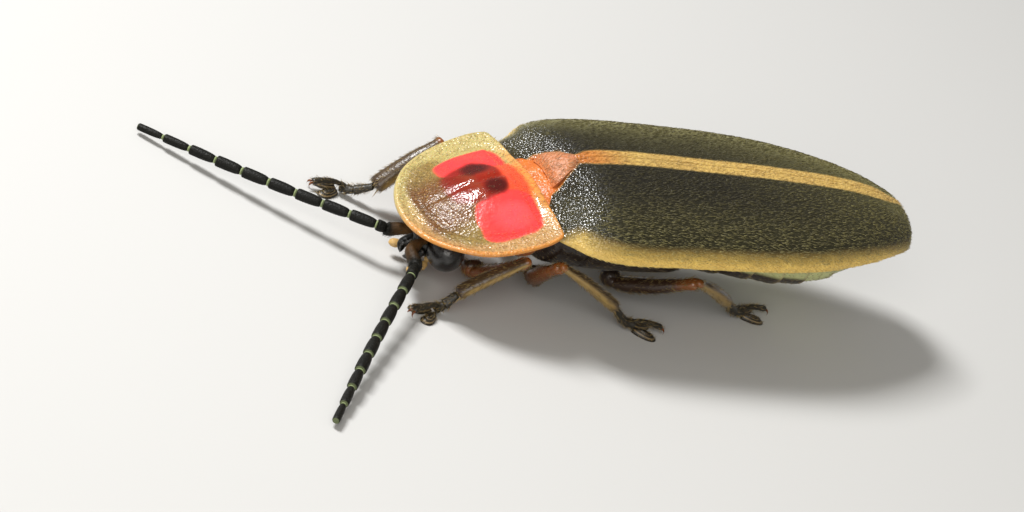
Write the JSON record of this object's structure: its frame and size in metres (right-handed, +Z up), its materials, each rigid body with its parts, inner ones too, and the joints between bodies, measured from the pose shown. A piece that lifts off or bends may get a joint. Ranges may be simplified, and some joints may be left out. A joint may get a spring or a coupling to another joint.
{
  "type": "firefly beetle",
  "caption": "Life-size firefly standing on its feet: broad pale shield over the head, long dark wing cases with pale edges, spread feelers and a pale light organ.",
  "frame": {"origin": "on the floor under the middle of the whole insect's box, feelers and feet included", "axes": "+X towards the tail, +Y towards the insect's right side, +Z up from the floor"},
  "size_m": [0.0182, 0.0104, 0.0035],
  "materials": {
    "shield": "translucent pale tan cuticle with two rose patches and a dark central spot, waxy gloss",
    "orange_cuticle": "orange-brown cuticle, satin",
    "dark_cuticle": "dark brown cuticle, satin with fine pale hairs",
    "wing_case": "blackish grained wing cases with golden tan seam and side edges, fine pale hairs",
    "leg": "brown and tan cuticle, satin",
    "foot": "dark brown, hairy",
    "feeler": "black, finely hairy, with pale joints",
    "eye": "black, glossy, finely faceted",
    "lantern": "pale yellow-green, waxy"
  },
  "bodies": {
    "root": {"abdomen": "dark_cuticle", "abdomen_tip": "dark_cuticle", "antenna_left": "feeler", "antenna_right": "feeler", "elytron_left": "wing_case", "elytron_right": "wing_case", "eye_left": "eye", "eye_right": "eye", "femur_front_left": "leg", "femur_front_right": "leg", "femur_hind_left": "leg", "femur_hind_right": "leg", "femur_middle_left": "leg", "femur_middle_right": "leg", "head": "dark_cuticle", "lantern": "lantern", "pronotum": "shield", "prothorax": "orange_cuticle", "scutellum": "orange_cuticle", "tarsus_front_left": "foot", "tarsus_front_right": "foot", "tarsus_hind_left": "foot", "tarsus_hind_right": "foot", "tarsus_middle_left": "foot", "tarsus_middle_right": "foot", "thorax": "dark_cuticle", "tibia_front_left": "leg", "tibia_front_right": "leg", "tibia_hind_left": "leg", "tibia_hind_right": "leg", "tibia_middle_left": "leg", "tibia_middle_right": "leg"}
  },
  "joints": []
}
